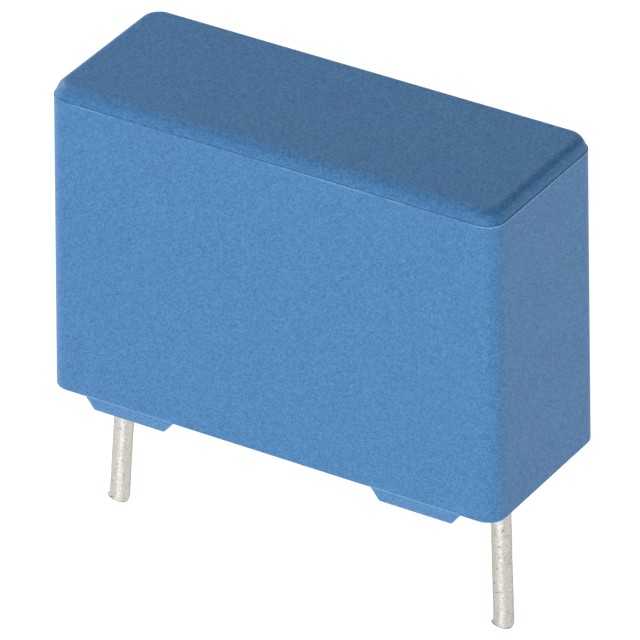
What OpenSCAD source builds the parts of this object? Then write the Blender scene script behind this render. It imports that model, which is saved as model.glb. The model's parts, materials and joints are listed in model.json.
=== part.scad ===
// Box film capacitor with two radial wire leads, standing on the four feet of its case.
// The origin lies on the seating plane, under the middle of the case: X runs along the
// case, Y through its depth and Z up.

/* [Case] */
// Length of the case at its open rim
case_l = 18; // [17.8:0.1:20]
// Depth of the case at its open rim
case_w = 6.95; // [6.8:0.05:8.5]
// Height of the case over its feet
case_h = 12.5; // [12:0.5:16]
// Thickness of the four walls
wall_t = 0.6; // [0.5:0.05:0.65]
// Thickness of the top
roof_t = 0.7; // [0.5:0.05:1]
// Draft of each wall, which leans inwards towards the top
draft_deg = 0.7; // [0.3:0.1:0.8]
// Radius of the four upright corners
corner_r = 0.7; // [0.5:0.05:0.9]
// Ledge at the mould's parting line, where the walls end under the top's edge
parting_step = 0.04; // [0.02:0.01:0.08]
// Width of the tapered band over the parting line
top_taper_w = 0.29; // [0.1:0.01:0.4]
// Tilt of that band off the upright
top_taper_deg = 20; // [5:1:30]
// Radius that rounds the band into the flat top
top_edge_r = 0.35; // [0.2:0.05:0.5]

/* [Feet] */
// Height of the feet, which is the gap under the rim
foot_h = 0.5; // [0.3:0.1:0.8]
// Length of a foot where it leaves the rim
foot_root_l = 3.6; // [2.4:0.1:4.4]
// Length of a foot on the seating plane
foot_tip_l = 2.85; // [1.8:0.05:3.2]
// Distance from the middle of the case to the middle of a foot
foot_x = 5.77; // [4:0.05:6]
// How far a foot's face lies behind the wall above it
foot_setback = 0.06; // [0.02:0.01:0.15]
// Radius of a foot's lower corners
foot_corner_r = 0.12; // [0.05:0.01:0.2]

/* [Resin] */
// Depth of the resin's level surface inside the rim
resin_recess = 0.4; // [0.3:0.05:0.6]
// Width of the band in which the resin creeps up the walls
creep_w = 0.5; // [0.3:0.05:0.8]
// Height of that creep
creep_h = 0.22; // [0.1:0.02:0.26]

/* [Wound element] */
// Thickness of the sprayed metal at each end of the roll
spray_t = 0.45; // [0.3:0.05:0.6]
// Least resin between the roll and a wall's foot
side_gap = 0.5; // [0.45:0.05:0.7]
// Resin between the roll and the top
roof_gap = 0.7; // [0.5:0.1:1]
// Resin between the roll and the resin's surface
floor_gap = 1.4; // [1:0.1:2]
// How far along the case the element was set off its middle
element_dx = -0.31; // [-0.31:0.01:0.31]
// How far through the case the element was set off its middle
element_dy = -0.2; // [-0.2:0.01:0.2]

/* [Leads] */
// Diameter of the tinned wire
lead_d = 0.72; // [0.6:0.02:0.8]
// Spacing of the leads where they leave the resin
lead_pitch = 15.1; // [14.6:0.1:15.1]
// Height over the seating plane at which the leads start to lean
bend_z = 0.3; // [0:0.05:0.5]
// How far the left lead reaches below the seating plane
left_reach = 5.5; // [3:0.1:30]
// How far the right lead reaches below the seating plane
right_reach = 5.8; // [3:0.1:30]
// Outward lean of the left lead below its bend
left_lean_deg = 4; // [0:0.1:6]
// Outward lean of the right lead below its bend
right_lean_deg = 1.5; // [0:0.1:6]
// Direction of the leads' bend and of the shear's stroke, turned from X
bend_heading_deg = 32; // [0:1:45]
// Depth to which a wire is welded into the sprayed metal
weld_sink = 0.08; // [0.04:0.01:0.12]
// Height of the welded stretch above the resin's surface
weld_h = 7.2; // [4:0.1:7.5]
// Slope of the sheared end
shear_deg = 12; // [4:1:20]
// Radius rolled onto the edge where the shear enters
roll_over_r = 0.22; // [0.1:0.01:0.25]

/* [Hidden] */

$fn = 64;
corner_steps = 8;      // straight facets in each upright corner
edge_steps = 6;        // rings in the round top edge
creep_steps = 6;       // rings in the resin's creep
arc_steps = 6;         // straight facets in a small rounded corner
cut_past = 1;          // how far a cutting body runs past what it cuts
join_depth = 0.2;      // how far a foot runs up inside its wall
cavity_corner_r = 0.4; // radius of the cavity's upright corners
cavity_bevel = 0.3;    // bevel round the cavity's ceiling

rim_z = foot_h;
ceiling_z = case_h - roof_t;
resin_z = rim_z + resin_recess;
lead_r = lead_d / 2;
spray_x = lead_pitch / 2 - lead_r + weld_sink;
winding_l = 2 * (spray_x - spray_t);
winding_t = case_w - 2 * wall_t - 2 * side_gap;
winding_h = ceiling_z - roof_gap - resin_z - floor_gap;
winding_z = resin_z + floor_gap + winding_h / 2;

// ---- Round-cornered rings and the loft through them

// How far a drafted wall has leaned inwards at height z
function lean_in(z) = (z - rim_z) * tan(draft_deg);

// One closed ring at height z, inset from a half length and a half depth
function ring(half_l, half_w, r, z) = [
    for (quarter = [0:3], k = [0:corner_steps])
        let (a = 90 * (quarter + k / corner_steps),
             sx = quarter == 0 || quarter == 3 ? 1 : -1,
             sy = quarter < 2 ? 1 : -1)
        [sx * (half_l - r) + r * cos(a), sy * (half_w - r) + r * sin(a), z]
];

// Ring of the case's outside, inset by a given amount from the drafted wall. The upright
// corner's radius shrinks half as fast as the ring does, which leaves the top's corners round.
function outer_ring(z, inset = 0) =
    let (d = lean_in(z) + inset)
    ring(case_l / 2 - d, case_w / 2 - d, corner_r - inset / 2, z);

// Ring of the cavity, inset by a given amount from the cavity's drafted wall
function cavity_ring(z, inset = 0) =
    let (d = wall_t + lean_in(z) + inset)
    ring(case_l / 2 - d, case_w / 2 - d, max(cavity_corner_r - inset, 0.1), z);

// Solid through a stack of rings that all have the same number of points
module loft(rings) {
    n = len(rings[0]);
    last = len(rings) - 1;
    polyhedron(
        points = [for (one = rings) each one],
        faces = concat(
            [[for (k = [0:n - 1]) k]],
            [for (level = [0:last - 1], k = [0:n - 1])
                let (a = level * n + k, b = level * n + (k + 1) % n)
                each [[a, a + n, b], [b, a + n, b + n]]],
            [[for (k = [n - 1:-1:0]) last * n + k]]),
        convexity = 4);
}

// Points of an arc about a centre
function arc(centre, r, from, to) = [
    for (k = [0:arc_steps])
        let (a = from + (to - from) * k / arc_steps)
        centre + r * [cos(a), sin(a)]
];

// ---- Case: one moulding with drafted walls, a parting step and four feet

module case_outside() {
    edge_z = case_h - top_edge_r * (1 - sin(top_taper_deg));
    edge_inset = parting_step + top_taper_w * sin(top_taper_deg);
    parting_z = edge_z - top_taper_w * cos(top_taper_deg);
    loft(concat(
        [outer_ring(rim_z), outer_ring(parting_z), outer_ring(parting_z, parting_step)],
        [for (k = [0:edge_steps])
            let (a = top_taper_deg + (90 - top_taper_deg) * k / edge_steps)
            outer_ring(case_h - top_edge_r * (1 - sin(a)),
                       edge_inset + top_edge_r * (cos(top_taper_deg) - cos(a)))]));
}

module case_cavity() {
    loft([cavity_ring(rim_z - cut_past),
          cavity_ring(ceiling_z - cavity_bevel),
          cavity_ring(ceiling_z, cavity_bevel)]);
}

// Front view of a foot: slanted ends, round lower corners, and a root inside the wall
module foot_profile() {
    slant = atan2((foot_root_l - foot_tip_l) / 2, foot_h);
    // Run of the round corner along the seating plane
    corner_run = foot_corner_r * tan(45 - slant / 2);
    right = arc([foot_tip_l / 2 - corner_run, foot_corner_r], foot_corner_r, -90, -slant);
    left = [for (k = [len(right) - 1:-1:0]) [-right[k].x, right[k].y]];
    polygon(concat(right,
        [[foot_root_l / 2, foot_h], [foot_root_l / 2, foot_h + join_depth],
         [-foot_root_l / 2, foot_h + join_depth], [-foot_root_l / 2, foot_h]],
        left));
}

module foot() {
    face_y = case_w / 2 - foot_setback;
    translate([foot_x, -face_y, 0])
        rotate([90, 0, 180])
            linear_extrude(wall_t) foot_profile();
}

module case() {
    color("#588dc0")
        difference() {
            union() {
                case_outside();
                for (sx = [0, 1], sy = [0, 1])
                    mirror([sx, 0, 0]) mirror([0, sy, 0]) foot();
            }
            case_cavity();
        }
}

// ---- Wound element: flat-pressed film roll with a sprayed metal contact on each end

module stadium(length) {
    straight = winding_h - winding_t;
    rotate([90, 0, 90])
        linear_extrude(length)
            union() {
                square([winding_t, straight], center = true);
                for (side = [-1, 1])
                    translate([0, side * straight / 2]) circle(d = winding_t);
            }
}

module film_winding() {
    color("#d9d3c4")
        translate([element_dx - winding_l / 2, element_dy, winding_z]) stadium(winding_l);
}

// Sprayed metal on one end of the roll, with the seat that its wire is welded into
module end_spray(side) {
    start_x = side < 0 ? -spray_x : spray_x - spray_t;
    color("#9a9a98")
        difference() {
            translate([element_dx + start_x, element_dy, winding_z]) stadium(spray_t);
            weld_seat(side);
        }
}

// ---- Leads: a straight stretch from the weld out through the resin, then a leaning free one

// The welded stretch's own place, which the sprayed metal leaves free
module weld_seat(side) {
    translate([element_dx + side * lead_pitch / 2, element_dy, resin_z])
        cylinder(d = lead_d, h = weld_h);
}

// Round wire trimmed to a side view, which holds the shape of both its ends
module trimmed_wire(length) {
    intersection() {
        cylinder(d = lead_d, h = 2 * length, center = true);
        rotate([90, 0, 0])
            linear_extrude(2 * lead_d, center = true) children();
    }
}

// Side view of the straight stretch, with the lower end mitred for the bend
module straight_profile(mitre_rise, top) {
    polygon([[-lead_d, top], [lead_d, top], [lead_d, mitre_rise], [-lead_d, -mitre_rise]]);
}

// Side view of the free stretch: mitred at the bend, and at its tip a sloping shear cut
// with one edge rolled over
module free_profile(mitre_rise, free_l) {
    arc_x = lead_r - roll_over_r;
    arc_z = (roll_over_r - arc_x * sin(shear_deg)) / cos(shear_deg) - free_l;
    polygon(concat(
        [[-lead_d, mitre_rise], [lead_d, -mitre_rise], [lead_d, arc_z]],
        arc([arc_x, arc_z], roll_over_r, 0, -90 - shear_deg),
        [[-lead_d, lead_d * tan(shear_deg) - free_l]]));
}

module lead(side, lean, reach) {
    straight_l = resin_z + weld_h - bend_z;
    free_l = (bend_z + reach) / cos(lean);
    mitre_rise = lead_d * tan(lean / 2);
    color("#dedcd8")
        translate([element_dx + side * lead_pitch / 2, element_dy, bend_z])
            rotate([0, 0, bend_heading_deg]) {
                trimmed_wire(straight_l + lead_d) straight_profile(mitre_rise, straight_l);
                rotate([0, -lean, 0])
                    trimmed_wire(free_l + lead_d) free_profile(mitre_rise, free_l);
            }
}

module lead_left() lead(-1, -left_lean_deg, left_reach);
module lead_right() lead(1, right_lean_deg, right_reach);

// ---- Resin: fills the cavity round the element, with a sunken surface inside the rim

module resin_fill() {
    color("#2f3b46")
        difference() {
            loft(concat(
                [for (k = [0:creep_steps])
                    let (a = 90 * k / creep_steps)
                    cavity_ring(resin_z - creep_h * (1 - cos(a)), creep_w * (1 - sin(a)))],
                [cavity_ring(ceiling_z - cavity_bevel),
                 cavity_ring(ceiling_z, cavity_bevel)]));
            film_winding();
            end_spray(-1);
            end_spray(1);
            lead_left();
            lead_right();
        }
}

case();
resin_fill();
film_winding();
end_spray(-1);  // end_spray_left
end_spray(1);  // end_spray_right
lead_left();
lead_right();
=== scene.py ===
"""Box film capacitor with two wire leads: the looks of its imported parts, in metres and in
their frame."""
import json
import math

import bpy
import numpy as np
from mathutils import Matrix, Vector


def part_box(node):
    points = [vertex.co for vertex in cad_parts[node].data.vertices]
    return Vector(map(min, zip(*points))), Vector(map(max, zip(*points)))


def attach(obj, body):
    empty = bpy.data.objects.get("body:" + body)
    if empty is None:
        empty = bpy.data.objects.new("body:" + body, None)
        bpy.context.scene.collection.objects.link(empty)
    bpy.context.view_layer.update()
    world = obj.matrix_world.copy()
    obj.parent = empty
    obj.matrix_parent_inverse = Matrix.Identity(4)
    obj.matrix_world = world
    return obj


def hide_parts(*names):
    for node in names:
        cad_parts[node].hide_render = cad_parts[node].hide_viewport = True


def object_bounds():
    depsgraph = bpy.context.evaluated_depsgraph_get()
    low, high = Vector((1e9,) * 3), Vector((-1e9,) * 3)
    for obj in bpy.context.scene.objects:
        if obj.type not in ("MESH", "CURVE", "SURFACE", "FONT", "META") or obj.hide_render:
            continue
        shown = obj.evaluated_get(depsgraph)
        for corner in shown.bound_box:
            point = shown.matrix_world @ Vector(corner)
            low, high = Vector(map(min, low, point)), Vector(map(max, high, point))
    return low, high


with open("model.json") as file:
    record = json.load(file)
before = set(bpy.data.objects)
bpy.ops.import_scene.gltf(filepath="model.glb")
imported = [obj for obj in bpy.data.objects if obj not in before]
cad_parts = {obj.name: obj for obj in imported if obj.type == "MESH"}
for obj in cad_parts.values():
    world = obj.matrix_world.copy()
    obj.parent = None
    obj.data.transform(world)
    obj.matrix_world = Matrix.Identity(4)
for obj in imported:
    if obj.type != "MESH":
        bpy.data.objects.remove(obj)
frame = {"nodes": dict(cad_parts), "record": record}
cad_low, cad_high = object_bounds()

# ---- Film winding
# Hundreds of turns of metallised plastic film, wound and pressed flat. The outer turns are
# plain film, so the roll shows a milky, silvery skin with faint lines where the turns overlap.


def linear(hex_colour):
    """A hex sRGB colour as the linear RGBA that a shader socket takes."""
    parts = [int(hex_colour[i:i + 2], 16) / 255 for i in (1, 3, 5)]
    curve = [c / 12.92 if c <= 0.04045 else ((c + 0.055) / 1.055) ** 2.4 for c in parts]
    return (*curve, 1.0)


def per_mm(size_mm):
    """Texture scale at which one cycle of a pattern is size_mm long, on coordinates in metres."""
    return 1000.0 / size_mm


def new_material(name):
    """An empty node material and its Principled shader, linked to the output."""
    material = bpy.data.materials.new(name)
    material.use_nodes = True
    shader = material.node_tree.nodes["Principled BSDF"]
    return material, shader


def feed(node, inputs):
    """Sets a node's inputs, each by its name or number, to a value or to the output socket of
    another node."""
    for name, value in inputs.items():
        if isinstance(value, bpy.types.NodeSocket):
            node.id_data.links.new(value, node.inputs[name])
        else:
            node.inputs[name].default_value = value


def add_node(material, kind, inputs, **settings):
    """Adds one node, sets its own properties to settings and feeds its inputs."""
    node = material.node_tree.nodes.new("ShaderNode" + kind)
    for name, value in settings.items():
        setattr(node, name, value)
    feed(node, inputs)
    return node


def metallised_film():
    """Clear film with an evaporated metal layer: a pale silver sheen under a soft plastic skin,
    with faint ridges along the roll where each outer turn ends."""
    material, shader = new_material("metallised_film_pressed_roll")
    place = add_node(material, "TexCoord", {}).outputs["Object"]
    # A wave's cycle is pi / 10 of its scale's length, so the ridges lie 0.5 mm apart
    turns = add_node(material, "TexWave", {
        "Vector": place, "Scale": per_mm(1.6), "Distortion": 0.6, "Detail": 2.0,
    }, wave_type="BANDS", bands_direction="Z")
    haze = add_node(material, "TexNoise", {"Vector": place, "Scale": per_mm(2.5), "Detail": 4.0})
    tint = add_node(material, "MixRGB", {
        "Fac": haze.outputs["Fac"], "Color1": linear("#b9b6ab"), "Color2": linear("#d6d2c6"),
    })
    bump = add_node(material, "Bump", {
        "Height": turns.outputs["Fac"], "Strength": 0.4, "Distance": 0.00001,
    })
    feed(shader, {
        "Base Color": tint.outputs["Color"], "Normal": bump.outputs["Normal"],
        "Metallic": 0.6, "Roughness": 0.38,
    })
    return material


def dress(node_name, material):
    """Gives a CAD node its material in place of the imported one."""
    slots = frame["nodes"][node_name].data.materials
    slots.clear()
    slots.append(material)


dress("film_winding", metallised_film())

# ---- End sprays
# Molten zinc sprayed on both ends of the roll, which joins the metal of all its turns. The
# droplets freeze as a dull, grainy grey crust.


def sprayed_zinc():
    """Flame-sprayed zinc: dull grey metal, rough with frozen droplets about 0.15 mm wide."""
    material, shader = new_material("sprayed_zinc_crust")
    place = add_node(material, "TexCoord", {}).outputs["Object"]
    droplets = add_node(material, "TexVoronoi", {"Vector": place, "Scale": per_mm(0.15)})
    dust = add_node(material, "TexNoise", {"Vector": place, "Scale": per_mm(0.5), "Detail": 5.0})
    tint = add_node(material, "MixRGB", {
        "Fac": dust.outputs["Fac"], "Color1": linear("#77787a"), "Color2": linear("#a2a3a3"),
    })
    bump = add_node(material, "Bump", {
        "Height": droplets.outputs["Distance"], "Strength": 0.8, "Distance": 0.00004,
    })
    feed(shader, {
        "Base Color": tint.outputs["Color"], "Normal": bump.outputs["Normal"],
        "Metallic": 0.85, "Roughness": 0.62,
    })
    return material


zinc = sprayed_zinc()
dress("end_spray_left", zinc)
dress("end_spray_right", zinc)

# ---- Leads
# Copper wire with a hot-dipped tin coat, welded to the sprays and led straight down out of
# the resin. The coat is slightly wavy, and the shear left a sloping end with a small burr.
mounts = {mount["name"]: mount for mount in frame["record"]["mounts"]}
wire_radius = mounts["lead_pin_left"]["dims"]["r_mm"] / 1000
wire_sides = 48
coat_set_back = 0.015  # share of the radius by which the wavy coat lies lower
bend_height = 0.0003
bend_length = 0.0006
bend_heading = math.radians(32)
cut_zone = 0.0005  # the wire's last stretch, whose rings follow the cut
cut_side = 0.0004  # the side's share of that stretch
shear_slope = math.tan(math.radians(12))
roll_over = 0.00022
burr = 0.00007
tear_height = 0.000006
# Painted shade along the cut end's edge: its base share, and how far its extra share spreads about
# where the round begins
cut_shade_base = 0.8
cut_shade_spread = 0.00008
end_clearance = 0.00002


def surface_piece(name, rings, smooth_angle, cut_shade=None):
    """A closed mesh through a grid of points: one row for each ring, each ring closed on
    itself, and a flat face over the first and the last ring. The optional last argument, a value
    of painted shade for each point, becomes an attribute of the same name."""
    rows, columns = rings.shape[:2]
    index = np.arange(rows * columns).reshape(rows, columns)
    following = np.roll(index, -1, axis=1)
    quads = np.stack([index[:-1], following[:-1], following[1:], index[1:]], axis=-1)
    faces = quads.reshape(-1, 4).tolist() + [index[0][::-1].tolist(), index[-1].tolist()]
    mesh = bpy.data.meshes.new(name)
    mesh.from_pydata(rings.reshape(-1, 3).tolist(), [], faces)
    mesh.shade_smooth()
    mesh.set_sharp_from_angle(angle=math.radians(smooth_angle))
    if cut_shade is not None:
        attribute = mesh.attributes.new("cut_shade", "FLOAT", "POINT")
        attribute.data.foreach_set("value", cut_shade.ravel().astype(np.float32))
    piece = bpy.data.objects.new(name, mesh)
    bpy.context.scene.collection.objects.link(piece)
    return piece


def coat_wave(along, turn):
    """The tin coat's slow waves as a share of the radius: three sines of the length and of the
    place round the wire, 2.7, 1.2 and 0.7 mm long."""
    along = along[:, None]
    u, v = np.cos(turn), np.sin(turn)
    return (0.010 * np.sin(2300 * along + 2.0 * u + 0.7)
            + 0.007 * np.sin(5200 * along - 3.0 * v)
            + 0.006 * np.sin(9100 * along + 4.0 * u + 1.9))


def sheared_end(free_length, turn):
    """Rings of the wire's end in its own axes, from the side down to the middle of the cut: u
    is the shear's stroke and w runs down the wire. The cut is a plane of the shear's slope,
    lifted by a quarter round on the side where the shear entered, drawn out to a lip on the
    other, and torn in fine ripples. The last result is the share of painted shade at each point:
    the cut's edge is mostly darkened, and wholly so at the lip and where the round begins."""
    side_rings, cut_rings = 9, 11
    inwards = np.linspace(1, 0.06, cut_rings + 1)[1:]
    reach = np.r_[np.ones(side_rings), inwards][:, None]
    lip_side = np.clip(-np.cos(turn), 0, 1) ** 3
    lip_rise = np.r_[np.linspace(0, 1, side_rings) ** 7,
                     np.linspace(1, 0, cut_rings + 1)[1:] ** 0.5][:, None]
    u = wire_radius * reach * np.cos(turn) - burr * lip_rise * lip_side * reach
    v = wire_radius * reach * np.sin(turn)

    round_start = wire_radius - roll_over
    past = np.clip(u - round_start, 0, roll_over)
    cut = (free_length + u * shear_slope
           - (roll_over - np.sqrt(np.maximum(roll_over ** 2 - past ** 2, 0))))
    lift = np.r_[np.linspace(cut_side, 0, side_rings), np.zeros(cut_rings)][:, None]
    tear = tear_height * np.sin(26000 * u + 3) * np.sin(31000 * v)
    w = cut - lift + np.where(lift == 0, tear, 0)

    # Painted shade: the edge rings of the cut are darkened, most at the lip and where the round
    # begins
    edge = side_rings - 1
    at_round = np.exp(-((u[edge] - round_start) / cut_shade_spread) ** 2)
    cut_shade = np.zeros(u.shape)
    cut_shade[edge:edge + 2] = np.clip(cut_shade_base + 0.5 * at_round + lip_side, 0, 1)
    return u, v, w, cut_shade


def lead_rings(exit_point, top, lean, free_length):
    """Rings of a sheared wire, from the middle of its cut end to its welded top, and the share
    of painted shade at each point. The axis runs straight down and turns by lean over a short
    bend, as a smooth step of the length. Each ring of the body is a circle across the axis, and
    its radius carries the coat's waves."""
    turn = np.linspace(0, 2 * np.pi, wire_sides, endpoint=False)
    straight = top - exit_point[2]
    along = np.r_[np.linspace(-straight, -bend_length / 2, 30),
                  np.linspace(-bend_length / 2, bend_length / 2, 9)[1:],
                  np.linspace(bend_length / 2, free_length - cut_zone, 50)[1:]]
    step = np.clip(along / bend_length + 0.5, 0, 1)
    angle = lean * step * step * (3 - 2 * step)
    gap = np.diff(along, prepend=along[0])
    sideways = np.cumsum(np.sin(angle) * gap)
    down = np.cumsum(np.cos(angle) * gap) - straight
    radius = wire_radius * (1 - coat_set_back + coat_wave(along, turn))
    u = radius * np.cos(turn)
    body = np.stack([sideways[:, None] + u * np.cos(angle)[:, None], radius * np.sin(turn),
                     -down[:, None] + u * np.sin(angle)[:, None]], axis=-1)

    u, v, w, end_cut_shade = sheared_end(free_length, turn)
    w = w - along[-1]
    end = np.stack([sideways[-1] + u * np.cos(lean) + w * np.sin(lean), v,
                    -down[-1] + u * np.sin(lean) - w * np.cos(lean)], axis=-1)
    rings = np.concatenate([body, end])
    cut_shade = np.concatenate([np.zeros(body.shape[:2]), end_cut_shade])

    cos_h, sin_h = math.cos(bend_heading), math.sin(bend_heading)
    turned = np.stack([rings[..., 0] * cos_h - rings[..., 1] * sin_h,
                       rings[..., 0] * sin_h + rings[..., 1] * cos_h, rings[..., 2]], axis=-1)
    return (turned + exit_point)[::-1], cut_shade[::-1]


def tinned_copper():
    """Hot-dipped tin on copper wire: a soft, dull metal whose coat froze in small waves, with
    patches that catch the light, darker rims, a few specks of oxide and flux, and painted shade
    along the edge of the sheared end. Fine waves round the wire spread the light along it."""
    material, shader = new_material("tinned_copper_wire")
    place = add_node(material, "TexCoord", {}).outputs["Object"]
    waves = add_node(material, "TexNoise", {"Vector": place, "Scale": per_mm(0.3), "Detail": 2.0})
    grain = add_node(material, "TexNoise", {"Vector": place, "Scale": per_mm(0.07), "Detail": 3.0})
    specks = add_node(material, "TexNoise", {
        "Vector": place, "Scale": per_mm(0.14), "Detail": 1.0,
    })
    speck_mask = add_node(material, "MapRange", {
        "Value": specks.outputs["Fac"], "From Min": 0.68, "From Max": 0.75,
    })
    mottle = add_node(material, "MapRange", {
        "Value": grain.outputs["Fac"], "From Min": 0.3, "From Max": 0.7,
    })
    tint = add_node(material, "MixRGB", {
        "Fac": mottle.outputs["Result"], "Color1": linear("#c4c0b6"), "Color2": linear("#e4e2de"),
    })
    speckled = add_node(material, "MixRGB", {
        "Fac": speck_mask.outputs["Result"], "Color1": tint.outputs["Color"],
        "Color2": linear("#9c998f"),
    })
    # Painted shade: the per-point attribute darkens the sheared end's edge to dark grey
    cut_shade = add_node(material, "Attribute", {}, attribute_name="cut_shade")
    cut_edge_shaded = add_node(material, "MixRGB", {
        "Fac": cut_shade.outputs["Fac"], "Color1": speckled.outputs["Color"],
        "Color2": linear("#5f5d57"),
    })
    dull = add_node(material, "MapRange", {
        "Value": waves.outputs["Fac"], "From Min": 0.3, "From Max": 0.7,
        "To Min": 0.37, "To Max": 0.46,
    })
    height = add_node(material, "Math", {
        0: waves.outputs["Fac"], 1: 2.6, 2: grain.outputs["Fac"],
    }, operation="MULTIPLY_ADD")
    bump = add_node(material, "Bump", {
        "Height": height.outputs["Value"], "Strength": 0.6, "Distance": 0.000016,
    })
    feed(shader, {
        "Base Color": cut_edge_shaded.outputs["Color"], "Normal": bump.outputs["Normal"],
        "Metallic": 1.0, "Roughness": dull.outputs["Result"],
        "Specular Tint": linear("#b8b5ac"),
        "Anisotropic": 0.55, "Anisotropic Rotation": 0.25,
    })
    return material


tin = tinned_copper()
exits = {}
for side in ("left", "right"):
    pin = mounts[f"lead_pin_{side}"]
    pin_middle = np.array(pin["pos_m"])
    axis = np.array(pin["axis"])
    axis = axis / np.linalg.norm(axis)
    exits[side] = pin_middle + axis * (bend_height - pin_middle[2]) / axis[2]
    weld_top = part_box(f"lead_{side}")[1].z
    signed_lean = math.copysign(math.acos(-axis[2]), axis[0])
    free_length = 2 * np.linalg.norm(pin_middle - exits[side]) - end_clearance
    rings, cut_shade = lead_rings(exits[side], weld_top, signed_lean, free_length)
    wire = surface_piece(f"tinned_lead_{side}", rings, smooth_angle=50, cut_shade=cut_shade)
    wire.data.materials.append(tin)
    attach(wire, "root")
    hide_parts(f"lead_{side}")

# ---- Case
# One moulding of glass-filled polyester, open at the bottom. Its walls are drafted and end in
# a fine lip at the mould's parting line; the spark-eroded mould gives it an even matte grain.
case_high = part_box("case")[1]
half_length, half_width, top_height = case_high
rim_height = 0.0005
wall = 0.0006
roof = 0.0007
draft = math.tan(math.radians(0.7))
corner_radius = 0.0007
least_radius = 0.0001
cavity_radius = 0.0004
cavity_bevel = 0.0003
edge_break = 0.00005
long_wall_end = 0.0077  # the last column on a long wall, short of the corner
end_wall_end = 0.0021  # the last column on an end wall

# The top's edge and the parting line under it
top_radius = 0.00035
taper_radius = 0.00147
taper_angles = math.radians(14), math.radians(27)
taper_rise = taper_radius * (math.sin(taper_angles[1]) - math.sin(taper_angles[0]))
parting_height = top_height - top_radius * (1 - math.sin(taper_angles[1])) - taper_rise
parting_step = 0.000012
end_step = 0.000012
lip_proud = 0.000008
lip_start = 0.00012
# Painted highlights: a pale line on the lip under the parting line, and one over the rim along
# each foot's root
highlight_line_offset = 0.00004  # the painted highlight lines lie this far under the parting line and over the rim
highlight_line_half_width = 0.00003
lip_highlight_end_band = 0.0002  # how near the ends the painted highlight covers the whole lip

# The feet
foot_middle = 0.00577
foot_root = 0.0018
foot_tip = 0.001425
foot_setback = 0.00008
foot_round = 0.00012
root_fillet = 0.0001
between_feet = 0.0034


def foot_outline():
    """Half of a foot's front view, from past its root to its middle, as distances from the
    middle and drops below the rim: a small fillet at the root, the slanted end, and an arc
    into the flat foot."""
    slant = math.atan2(foot_root - foot_tip, rim_height)
    run = root_fillet * math.tan(math.pi / 4 - slant / 2)
    a = np.linspace(0, math.pi / 2 - slant, 4)
    root_x = foot_root + run - root_fillet * np.sin(a)
    root_drop = root_fillet * (1 - np.cos(a))
    run = foot_round * math.tan(math.pi / 4 - slant / 2)
    b = np.linspace(math.pi / 2 - slant, 0, 6)
    tip_x = foot_tip - run + foot_round * np.sin(b)
    tip_drop = rim_height - foot_round * (1 - np.cos(b))
    flat_x = np.linspace(tip_x[-1], 0, 4)[1:]
    distance = np.r_[root_x, tip_x, flat_x]
    drop = np.r_[root_drop, tip_drop, np.full(3, rim_height)]
    return distance, drop


def long_wall_columns():
    """Places along a long wall, from -X to +X, and how far the foot drops below the rim there."""
    distance, drop = foot_outline()
    foot_x = np.r_[-distance, distance[-2::-1]]
    foot_drop = np.r_[drop, drop[-2::-1]]
    between = np.linspace(-between_feet, between_feet, 9)
    x = np.r_[-long_wall_end, foot_x - foot_middle,
              between, foot_x + foot_middle, long_wall_end]
    return x, np.r_[0, foot_drop, 0 * between, foot_drop, 0]


def case_columns():
    """Six arrays with one entry for each column round the case: which corner it turns about in
    x and in y, its angle there, its fixed x and y along a wall, and the foot's drop. Walls and
    corners follow each other counter-clockwise from the +X end."""
    wall_x, wall_drop = long_wall_columns()
    end_y = np.linspace(-end_wall_end, end_wall_end, 7)
    quarter = math.pi / 2
    arc = np.linspace(0, quarter, 11)
    free = np.nan
    stretches = [
        (1, 0, 0, free, end_y, 0),
        (1, 1, arc, free, free, 0),
        (0, 1, quarter, wall_x[::-1], free, wall_drop[::-1]),
        (-1, 1, arc + quarter, free, free, 0),
        (-1, 0, 2 * quarter, free, end_y[::-1], 0),
        (-1, -1, arc + 2 * quarter, free, free, 0),
        (0, -1, 3 * quarter, wall_x, free, wall_drop),
        (1, -1, arc + 3 * quarter, free, free, 0),
    ]
    spread = [np.broadcast_arrays(*stretch) for stretch in stretches]
    return [np.concatenate(parts) for parts in zip(*spread)]


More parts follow.
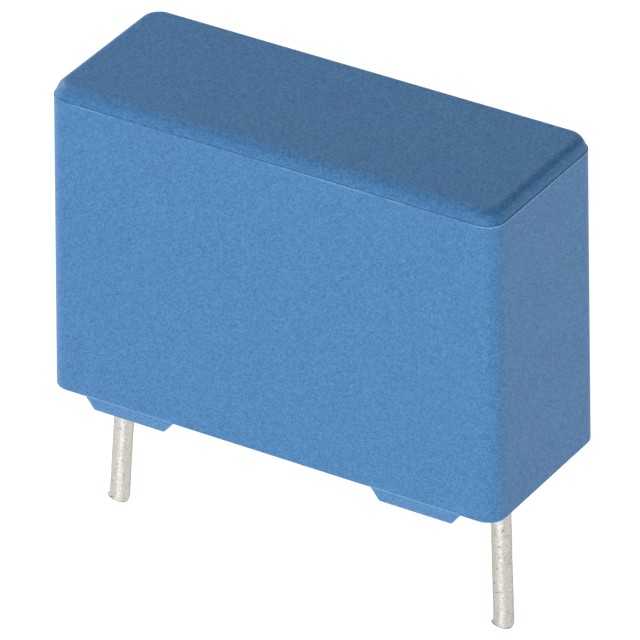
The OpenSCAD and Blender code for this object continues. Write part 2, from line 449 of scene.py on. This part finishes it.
def case_rows():
    """Rows of the case's section, from the middle of the cavity's ceiling down the inside,
    round the rim and the feet, up the outside and over the top. Each bend is an arc: the
    broken edges of the rim, a slow one that leads in from the parting line, and the top's own.
    Each row has its inset from the outer wall's foot, its height, how far it follows the foot's
    drop, how far its height follows the foot's own edge, and its corner radius."""
    rows = []

    def lean(height):
        return draft * (height - rim_height)

    def row(inset, height, follows=0.0, edge=0.0, radius=None):
        if radius is None:
            radius = max(corner_radius - inset + lean(height), least_radius)
        rows.append((inset, height, follows, edge, radius))

    ceiling = top_height - roof
    bevel_foot = ceiling - cavity_bevel
    row(wall + lean(ceiling) + cavity_bevel, ceiling, radius=cavity_radius - cavity_bevel)
    row(wall + lean(bevel_foot), bevel_foot, radius=cavity_radius)
    row(wall, rim_height + edge_break * 2, radius=cavity_radius)
    for a in np.linspace(0, math.pi / 2, 4):
        row(wall - edge_break * (1 - math.cos(a)),
            rim_height + edge_break * (1 - math.sin(a)), follows=1.0, radius=cavity_radius)
    for a in np.linspace(math.pi / 2, 0, 4):
        row(foot_setback + edge_break * (1 - math.cos(a)), rim_height, follows=1.0,
            edge=edge_break * (1 - math.sin(a)))
    for a in np.linspace(math.pi / 2, 0, 5):
        row(edge_break * (1 - math.cos(a)), rim_height + edge_break * (1 - math.sin(a)))

    for height in np.linspace(rim_height + edge_break, parting_height - lip_start, 9)[1:]:
        row(lean(height), height)
    # The lip's section: each point's drop below the parting line and its share of the lip
    for drop, share in ((0.000095, 0.0), (0.00007, 0.35), (0.000045, 0.8), (0.00002, 1.0),
                        (0.000006, 0.9), (0.0, 0.5)):
        row(lean(parting_height) - lip_proud * share, parting_height - drop)

    row(lean(parting_height) + parting_step, parting_height)
    start, bend = taper_angles
    for a in np.linspace(start, bend, 6)[1:]:
        over = parting_step + taper_radius * (math.cos(start) - math.cos(a))
        rise = taper_radius * (math.sin(a) - math.sin(start))
        row(lean(parting_height) + over, parting_height + rise,
            radius=corner_radius - 0.5 * over)
    tapered = over
    for a in np.linspace(bend, math.pi / 2, 11)[1:]:
        over = tapered + top_radius * (math.cos(bend) - math.cos(a))
        row(lean(parting_height) + over, top_height - top_radius * (1 - math.sin(a)),
            radius=corner_radius - 0.5 * over)
    return np.array(rows)


def case_rings():
    """Points of the case: each row's rounded rectangle, with corners of the row's radius,
    lowered by the foot's drop on the rows that follow it. Over the parting line the ends stand
    back a little more, as the mould's two halves met."""
    corner_x, corner_y, angle, fixed_x, fixed_y, drop = case_columns()
    inset, height, follows, edge, radius = (part[:, None] for part in case_rows().T)
    end_inset = inset + np.where(height >= parting_height, end_step, 0)
    straight_x = half_length - end_inset - radius
    straight_y = half_width - inset - radius
    x = corner_x * straight_x + radius * np.cos(angle)
    y = corner_y * straight_y + radius * np.sin(angle)
    x = np.where(np.isnan(fixed_x), x, np.clip(fixed_x, -straight_x, straight_x))
    y = np.where(np.isnan(fixed_y), y, np.clip(fixed_y, -straight_y, straight_y))
    y = np.where(corner_x == 0, corner_y * (half_width - inset), y)
    x = np.where(corner_y == 0, corner_x * (half_length - end_inset), x)
    share = np.clip(drop / foot_round, 0, 1)
    z = height - follows * drop + edge * share
    return np.stack([x, y, np.broadcast_to(z, x.shape)], axis=-1)


def moulded_polyester():
    """Glass-filled PBT from a spark-eroded mould: solid blue, with a fine matte grain and faint
    clouding of the pigment. Painted highlights make it lighter on a thin line on the lip under the
    top's edge and on a line along each foot's root, and a painted sheen lightens the foot's face."""
    material, shader = new_material("moulded_blue_pbt")
    place = add_node(material, "TexCoord", {}).outputs["Object"]
    # Spark pits are about 0.03 mm wide. They are drawn coarser so that they show, and more so
    # through the case's depth, as on the top and the ends
    pit_place = add_node(material, "Mapping", {"Vector": place, "Scale": (1, 0.6, 1)})
    pits = add_node(material, "TexVoronoi", {
        "Vector": pit_place.outputs["Vector"], "Scale": per_mm(0.041),
    })
    pit_tone = add_node(material, "SeparateColor", {"Color": pits.outputs["Color"]})
    cloud = add_node(material, "TexNoise", {"Vector": place, "Scale": per_mm(2.4), "Detail": 3.0})
    speckle = add_node(material, "MixRGB", {
        "Fac": pit_tone.outputs["Red"], "Color1": linear("#3671aa"), "Color2": linear("#5396cc"),
    })
    cloud_share = add_node(material, "MapRange", {
        "Value": cloud.outputs["Fac"], "From Min": 0.35, "From Max": 0.65,
    })
    cloud_tint = add_node(material, "MixRGB", {
        "Fac": cloud_share.outputs["Result"], "Color1": linear("#fffaff"),
        "Color2": linear("#fafffd"),
    })
    clouded = add_node(material, "MixRGB", {
        "Fac": 1.0, "Color1": speckle.outputs["Color"], "Color2": cloud_tint.outputs["Color"],
    }, blend_type="MULTIPLY")

    place_xyz = add_node(material, "SeparateXYZ", {0: place})
    off_middle = add_node(material, "Math", {0: place_xyz.outputs["X"]}, operation="ABSOLUTE")
    at_foot = add_node(material, "Math", {
        0: off_middle.outputs["Value"], 1: foot_middle, 2: foot_root,
    }, operation="COMPARE")
    # Painted highlight: a pale line just over the rim along each foot's root
    root_highlight_band = add_node(material, "Math", {
        0: place_xyz.outputs["Z"], 1: rim_height + highlight_line_offset, 2: highlight_line_half_width,
    }, operation="COMPARE")
    foot_root_highlight = add_node(material, "Math", {
        0: at_foot.outputs["Value"], 1: root_highlight_band.outputs["Value"],
    }, operation="MULTIPLY")
    # Painted sheen: the foot's face below the rim is made lighter
    foot_face_sheen = add_node(material, "MapRange", {
        "Value": place_xyz.outputs["Z"],
        "From Min": rim_height, "From Max": rim_height - 0.00001,
    })
    # Painted highlight: a pale line on the lip under the parting line, in patches of the clouding
    # noise along the walls and whole near the ends
    lip_highlight_line = add_node(material, "Math", {
        0: place_xyz.outputs["Z"], 1: parting_height - highlight_line_offset, 2: highlight_line_half_width,
    }, operation="COMPARE")
    patches = add_node(material, "MapRange", {
        "Value": cloud.outputs["Fac"], "From Min": 0.47, "From Max": 0.57, "To Min": 0.1,
    })
    at_end = add_node(material, "Math", {
        0: off_middle.outputs["Value"], 1: half_length - lip_highlight_end_band,
    }, operation="GREATER_THAN")
    lip_highlight_share = add_node(material, "Math", {
        0: patches.outputs["Result"], 1: at_end.outputs["Value"],
    }, operation="MAXIMUM")
    lip = add_node(material, "Math", {
        0: lip_highlight_line.outputs["Value"], 1: lip_highlight_share.outputs["Value"],
    }, operation="MULTIPLY")
    highlight_share = add_node(material, "Math", {
        0: lip.outputs["Value"], 1: foot_root_highlight.outputs["Value"],
    }, operation="MAXIMUM")
    # The grey added here paints the sheen on the feet, and the next grey paints the highlight
    # lines
    foot_sheen_added = add_node(material, "MixRGB", {
        "Fac": foot_face_sheen.outputs["Result"], "Color1": clouded.outputs["Color"],
        "Color2": linear("#282828"),
    }, blend_type="ADD")
    highlights_added = add_node(material, "MixRGB", {
        "Fac": highlight_share.outputs["Value"], "Color1": foot_sheen_added.outputs["Color"],
        "Color2": linear("#555d68"),
    }, blend_type="ADD")
    bump = add_node(material, "Bump", {
        "Height": pits.outputs["Distance"], "Strength": 0.5, "Distance": 0.000012,
    })
    feed(shader, {
        "Base Color": highlights_added.outputs["Color"], "Normal": bump.outputs["Normal"],
        "Roughness": 0.50, "IOR": 1.45,
    })
    return material


shell = surface_piece("moulded_case", case_rings(), smooth_angle=35)
shell.data.materials.append(moulded_polyester())
flat_faces = shell.modifiers.new("flat_faces_stay_flat", "WEIGHTED_NORMAL")
flat_faces.keep_sharp = True
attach(shell, "root")
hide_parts("case")

# ---- Resin
# Filled epoxy, poured round the roll with the case upside down and cured. Its surface lies
# inside the rim and creeps up the walls and the wires.
resin_level = rim_height + 0.0004
wire_creep_width = 0.00018
wire_creep_height = 0.00016
sunk_depth = 0.0001


def cast_epoxy():
    """Filled epoxy, cured in the open: dark blue, smooth and slightly glossy, with faint waves
    and a few pinholes from escaped air."""
    material, shader = new_material("cast_blue_epoxy")
    place = add_node(material, "TexCoord", {}).outputs["Object"]
    waves = add_node(material, "TexNoise", {"Vector": place, "Scale": per_mm(2.2), "Detail": 2.0})
    pinholes = add_node(material, "TexVoronoi", {"Vector": place, "Scale": per_mm(0.9)})
    hole_mask = add_node(material, "MapRange", {
        "Value": pinholes.outputs["Distance"], "From Min": 0.05, "From Max": 0.12,
    })
    tint = add_node(material, "MixRGB", {
        "Fac": waves.outputs["Fac"], "Color1": linear("#1d3a58"), "Color2": linear("#28496b"),
    })
    height = add_node(material, "Math", {
        0: waves.outputs["Fac"], 1: 1.5, 2: hole_mask.outputs["Result"],
    }, operation="MULTIPLY_ADD")
    bump = add_node(material, "Bump", {
        "Height": height.outputs["Value"], "Strength": 0.5, "Distance": 0.00004,
    })
    feed(shader, {
        "Base Color": tint.outputs["Color"], "Normal": bump.outputs["Normal"],
        "Roughness": 0.28, "IOR": 1.55,
    })
    return material


def creep_rings(centre, level):
    """The resin's creep round a wire: a quarter round, steep at the wire and flat where it
    meets the level surface. Its ends lie inside the wire and inside the resin."""
    turn = np.linspace(0, 2 * np.pi, wire_sides, endpoint=False)
    a = np.linspace(0, math.pi / 2, 9)
    inside_wire = wire_radius * 0.97
    radius = np.r_[inside_wire + wire_creep_width * (1 - np.cos(a)),
                   inside_wire + wire_creep_width]
    height = np.r_[level - wire_creep_height * (1 - np.sin(a)), level + sunk_depth]
    return np.stack([centre[0] + radius[:, None] * np.cos(turn),
                     centre[1] + radius[:, None] * np.sin(turn),
                     np.broadcast_to(height[:, None], (len(height), len(turn)))], axis=-1)


epoxy = cast_epoxy()
dress("resin_fill", epoxy)
for side in ("left", "right"):
    rings = creep_rings(exits[side], resin_level)
    collar = surface_piece(f"resin_creep_{side}", rings, smooth_angle=50)
    collar.data.materials.append(epoxy)
    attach(collar, "root")

# ---- Floor and light
# A lit white table, whose light fills the upright faces from below, in a dim room with a broad
# soft light over the back, a low strip lamp in front of the part and a soft lamp on its left.
floor_height = cad_low.z
floor_reach = 1.0
middle = (cad_low + cad_high) / 2


def lit_white_table():
    """White diffusing sheet over a light: it glows evenly, just short of white, and what falls
    on it makes up the rest, so that it keeps a faint shadow. Its lower side is clear, so that
    the part can be seen from below."""
    material = bpy.data.materials.new("lit_white_table")
    material.use_nodes = True
    material.node_tree.nodes.clear()
    sheet = add_node(material, "BsdfDiffuse", {"Color": linear("#808080")})
    glow = add_node(material, "Emission", {"Color": linear("#ffffff"), "Strength": 0.955})
    both = add_node(material, "AddShader", {0: sheet.outputs["BSDF"], 1: glow.outputs["Emission"]})
    side = add_node(material, "NewGeometry", {})
    clear = add_node(material, "BsdfTransparent", {})
    sheet_or_clear = add_node(material, "MixShader", {
        0: side.outputs["Backfacing"], 1: both.outputs["Shader"], 2: clear.outputs["BSDF"],
    })
    add_node(material, "OutputMaterial", {"Surface": sheet_or_clear.outputs["Shader"]})
    return material


floor_mesh = bpy.data.meshes.new("studio_floor")
floor_corners = floor_reach * np.array([(-1, -1), (1, -1), (1, 1), (-1, 1)])
floor_mesh.from_pydata([(x, y, floor_height) for x, y in floor_corners], [], [(0, 1, 2, 3)])
floor_mesh.materials.append(lit_white_table())
floor = bpy.data.objects.new("studio_floor", floor_mesh)
bpy.context.scene.collection.objects.link(floor)


def soft_lamp(name, direction, distance, width, height, level):
    """A rectangular soft lamp that faces the part. level is how bright a white card facing it
    would look, so its power is level times pi squared times the distance squared."""
    light = bpy.data.lights.new(name, "AREA")
    light.shape = "RECTANGLE"
    light.size = width
    light.size_y = height
    light.energy = level * math.pi ** 2 * distance ** 2
    lamp = bpy.data.objects.new(name, light)
    away = Vector(direction).normalized()
    lamp.location = middle + away * distance
    lamp.rotation_euler = away.to_track_quat("Z", "Y").to_euler()
    bpy.context.scene.collection.objects.link(lamp)


soft_lamp("front_strip", direction=(0.22, -0.975, 0.08), distance=0.35,
          width=0.24, height=0.04, level=0.425)
soft_lamp("left_lamp", direction=(-0.88, 0.08, 0.469), distance=0.20,
          width=0.12, height=0.12, level=0.63)


def studio_room():
    """The dim room over the table, brighter in a broad soft patch above the back. The camera
    sees plain white there, and so do shiny faces down at the horizon."""
    world = bpy.data.worlds.new("studio_room")
    world.use_nodes = True
    world.node_tree.nodes.clear()
    path = add_node(world, "LightPath", {})
    ray = add_node(world, "TexCoord", {})
    side = add_node(world, "SeparateXYZ", {0: ray.outputs["Generated"]})
    near_horizon = add_node(world, "MapRange", {
        "Value": side.outputs["Z"], "From Max": 0.12, "To Min": 1.0, "To Max": 0.0,
    }, interpolation_type="SMOOTHSTEP")
    shiny = add_node(world, "Math", {
        0: path.outputs["Is Glossy Ray"], 1: near_horizon.outputs["Result"],
    }, operation="MULTIPLY")
    white = add_node(world, "Math", {
        0: path.outputs["Is Camera Ray"], 1: path.outputs["Is Transmission Ray"],
    }, operation="MAXIMUM")
    whiter = add_node(world, "Math", {
        0: white.outputs["Value"], 1: shiny.outputs["Value"],
    }, operation="MAXIMUM")
    towards = add_node(world, "VectorMath", {
        0: ray.outputs["Generated"], 1: (-0.18, 0.617, 0.766),
    }, operation="DOT_PRODUCT")
    patch = add_node(world, "MapRange", {
        "Value": towards.outputs["Value"], "From Min": 0.7, "To Min": 0.11, "To Max": 0.95,
    }, interpolation_type="SMOOTHSTEP")
    level = add_node(world, "MixRGB", {
        "Fac": whiter.outputs["Value"], "Color1": patch.outputs["Result"],
        "Color2": linear("#ffffff"),
    })
    air = add_node(world, "Background", {"Color": level.outputs["Color"]})
    add_node(world, "OutputWorld", {"Surface": air.outputs["Background"]})
    return world


bpy.context.scene.world = studio_room()

# ---- Camera
# A long lens, a little above the part and to the right of its long face, turned slightly
# about its own axis. It aims just over the middle of the part.
azimuth, elevation, roll = (math.radians(a) for a in (31.81, 31.06, -0.573))
view_distance = 0.2716
aim = np.array(middle) + np.array([-0.00005, 0, 0.000757])
camera_data = bpy.data.cameras.new("studio_camera")
camera_data.sensor_width = 36.0
camera_data.lens = 444.9
camera_data.clip_start = 0.01
back = np.array([math.sin(azimuth) * math.cos(elevation),
                 -math.cos(azimuth) * math.cos(elevation), math.sin(elevation)])
right = np.cross(-back, [0, 0, 1])
right = right / np.linalg.norm(right)
up = np.cross(right, -back)
right_rolled = right * math.cos(roll) + up * math.sin(roll)
up_rolled = up * math.cos(roll) - right * math.sin(roll)
pose = np.eye(4)
pose[:3, :3] = np.stack([right_rolled, up_rolled, back], axis=1)
pose[:3, 3] = aim + back * view_distance
camera = bpy.data.objects.new("studio_camera", camera_data)
camera.matrix_world = Matrix(pose.tolist())
bpy.context.scene.collection.objects.link(camera)
bpy.context.scene.camera = camera
bpy.context.scene.view_settings.view_transform = "Standard"
